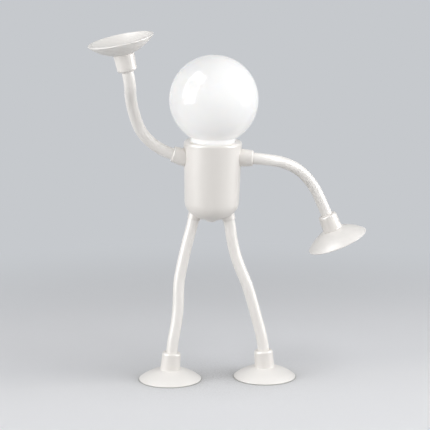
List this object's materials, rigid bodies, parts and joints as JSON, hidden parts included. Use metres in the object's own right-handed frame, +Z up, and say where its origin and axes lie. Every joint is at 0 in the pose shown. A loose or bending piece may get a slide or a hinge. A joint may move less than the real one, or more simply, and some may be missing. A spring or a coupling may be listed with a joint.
{
  "type": "figure-shaped desk lamp",
  "caption": "Small desk lamp shaped like a standing figure: opal globe for a head, cup-shaped torso, bendable silicone arms and legs that end in suction cups.",
  "frame": {"origin": "on the surface that the feet stand on, below the middle of the whole figure's bounding box", "axes": "+Z up, -Y the front that the picture shows, +X to the viewer's right; nodes named left are on the -X side"},
  "size_m": [0.1915, 0.1173, 0.2465],
  "materials": {
    "shell_plastic": "matte warm white",
    "opal_globe": "glossy opal white",
    "inner_plastic": "matte white",
    "led_board": "white solder mask on aluminium",
    "led": "yellow phosphor",
    "steel": "satin",
    "battery_wrap": "foil wrap",
    "circuit_board": "green solder mask",
    "chip": "matte black",
    "port_metal": "satin",
    "switch_plastic": "matte black",
    "button_plastic": "matte warm white",
    "spring_steel": "bright",
    "tube_silicone": "satin warm white silicone",
    "cup_silicone": "satin warm white silicone",
    "wire": "soft drawn"
  },
  "bodies": {
    "torso": {"torso_shell": "shell_plastic", "globe": "opal_globe", "globe_holder": "inner_plastic", "led_board": "led_board", "led_chips": "led", "inner_screws": "steel", "battery_cradle": "inner_plastic", "battery_cell": "battery_wrap", "control_board": "circuit_board", "board_parts": "chip", "usb_socket": "port_metal", "push_switch": "switch_plastic", "button_spring": "spring_steel"},
    "button": {"power_button": "button_plastic"},
    "left_shoulder": {"left_shoulder_washer": "steel", "left_shoulder_pin": "steel", "left_shoulder_nut": "steel"},
    "left_upper_arm": {"left_shoulder_collar": "shell_plastic", "left_upper_arm": "tube_silicone", "left_elbow": "tube_silicone", "left_arm_wire": "wire"},
    "left_forearm": {"left_forearm": "tube_silicone", "left_wrist": "tube_silicone"},
    "left_hand": {"left_wrist_collar": "shell_plastic", "left_hand_cup": "cup_silicone"},
    "left_hip": {"left_hip_collar": "shell_plastic", "left_hip_clip": "steel", "left_hip": "tube_silicone", "left_leg_wire": "wire"},
    "left_thigh": {"left_thigh": "tube_silicone", "left_knee": "tube_silicone"},
    "left_shin": {"left_shin": "tube_silicone", "left_ankle": "tube_silicone"},
    "left_foot": {"left_ankle_collar": "shell_plastic", "left_foot_cup": "cup_silicone"},
    "right_shoulder": {"right_shoulder_washer": "steel", "right_shoulder_pin": "steel", "right_shoulder_nut": "steel"},
    "right_upper_arm": {"right_shoulder_collar": "shell_plastic", "right_upper_arm": "tube_silicone", "right_elbow": "tube_silicone", "right_arm_wire": "wire"},
    "right_forearm": {"right_forearm": "tube_silicone", "right_wrist": "tube_silicone"},
    "right_hand": {"right_wrist_collar": "shell_plastic", "right_hand_cup": "cup_silicone"},
    "right_hip": {"right_hip_collar": "shell_plastic", "right_hip_clip": "steel", "right_hip": "tube_silicone", "right_leg_wire": "wire"},
    "right_thigh": {"right_thigh": "tube_silicone", "right_knee": "tube_silicone"},
    "right_shin": {"right_shin": "tube_silicone", "right_ankle": "tube_silicone"},
    "right_foot": {"right_ankle_collar": "shell_plastic", "right_foot_cup": "cup_silicone"}
  },
  "joints": [
    {"name": "left_shoulder_tilt", "type": "hinge", "parent": "torso", "child": "left_shoulder", "pos_m": [-0.03603, 0.00651, 0.15869], "axis": [-0.1035, 0.9933, 0.0508], "range_deg": [-33, 1]},
    {"name": "left_shoulder_swivel", "type": "hinge", "parent": "left_shoulder", "child": "left_upper_arm", "pos_m": [-0.03603, 0.00651, 0.15869], "axis": [-0.9448, -0.1141, 0.307], "range_deg": [-90, 90]},
    {"name": "left_elbow_bend", "type": "hinge", "parent": "left_upper_arm", "child": "left_forearm", "pos_m": [-0.06247, -0.00275, 0.17651], "axis": [0.0469, 0.8472, 0.5292], "range_deg": [-40, 40], "deforming": ["left_elbow", "left_arm_wire"]},
    {"name": "left_wrist_bend", "type": "hinge", "parent": "left_forearm", "child": "left_hand", "pos_m": [-0.06893, -0.03199, 0.21319], "axis": [-0.946, -0.2397, -0.2183], "range_deg": [-40, 30], "deforming": ["left_wrist"]},
    {"name": "left_hip_swivel", "type": "hinge", "parent": "torso", "child": "left_hip", "pos_m": [-0.02694, 0.01087, 0.11615], "axis": [-0.2453, 0.0476, -0.9683], "range_deg": [-60, 60]},
    {"name": "left_hip_bend", "type": "hinge", "parent": "left_hip", "child": "left_thigh", "pos_m": [-0.02845, 0.01096, 0.11034], "axis": [-0.9536, 0.1678, 0.2498], "range_deg": [-30, 30], "deforming": ["left_hip", "left_leg_wire"]},
    {"name": "left_knee_bend", "type": "hinge", "parent": "left_thigh", "child": "left_shin", "pos_m": [-0.03798, 0.00805, 0.06825], "axis": [-0.2294, -0.9678, 0.1038], "range_deg": [-40, 35], "deforming": ["left_knee"]},
    {"name": "left_ankle_bend", "type": "hinge", "parent": "left_shin", "child": "left_foot", "pos_m": [-0.0423, 0.00375, 0.02678], "axis": [0.7136, -0.6972, -0.0688], "range_deg": [-30, 30], "deforming": ["left_ankle"]},
    {"name": "right_shoulder_tilt", "type": "hinge", "parent": "torso", "child": "right_shoulder", "pos_m": [0.00752, 0.00651, 0.15777], "axis": [-0.1055, -0.9933, -0.0464], "range_deg": [-14, 18]},
    {"name": "right_shoulder_swivel", "type": "hinge", "parent": "right_shoulder", "child": "right_upper_arm", "pos_m": [0.00752, 0.00651, 0.15777], "axis": [0.9929, -0.1026, -0.0608], "range_deg": [-90, 90]},
    {"name": "right_elbow_bend", "type": "hinge", "parent": "right_upper_arm", "child": "right_forearm", "pos_m": [0.03591, 0.01944, 0.15229], "axis": [-0.6218, 0.2491, -0.7425], "range_deg": [-40, 40], "deforming": ["right_elbow", "right_arm_wire"]},
    {"name": "right_wrist_bend", "type": "hinge", "parent": "right_forearm", "child": "right_hand", "pos_m": [0.0642, 0.03494, 0.12015], "axis": [0.5348, 0.7985, 0.2764], "range_deg": [-35, 40], "deforming": ["right_wrist"]},
    {"name": "right_hip_swivel", "type": "hinge", "parent": "torso", "child": "right_hip", "pos_m": [-0.00335, 0.01087, 0.11565], "axis": [0.2045, 0.0476, -0.9777], "range_deg": [-60, 60]},
    {"name": "right_hip_bend", "type": "hinge", "parent": "right_hip", "child": "right_thigh", "pos_m": [-0.00225, 0.01119, 0.10977], "axis": [0.2543, 0.9619, 0.1], "range_deg": [-30, 12], "deforming": ["right_hip", "right_leg_wire"]},
    {"name": "right_knee_bend", "type": "hinge", "parent": "right_thigh", "child": "right_shin", "pos_m": [0.00975, 0.011, 0.0673], "axis": [0.463, 0.8763, 0.1331], "range_deg": [-40, 35], "deforming": ["right_knee"]},
    {"name": "right_ankle_bend", "type": "hinge", "parent": "right_shin", "child": "right_foot", "pos_m": [0.02079, 0.01019, 0.02681], "axis": [0.1991, 0.9799, 0.0145], "range_deg": [-30, 30], "deforming": ["right_ankle"]},
    {"name": "button_press", "type": "slide", "parent": "torso", "child": "button", "axis": [0.0209, -0.0489, 0.9986], "range_m": [0, 0.0006], "stiffness_N_per_m": 600, "springref_m": -0.0008, "deforming": ["button_spring"]}
  ]
}
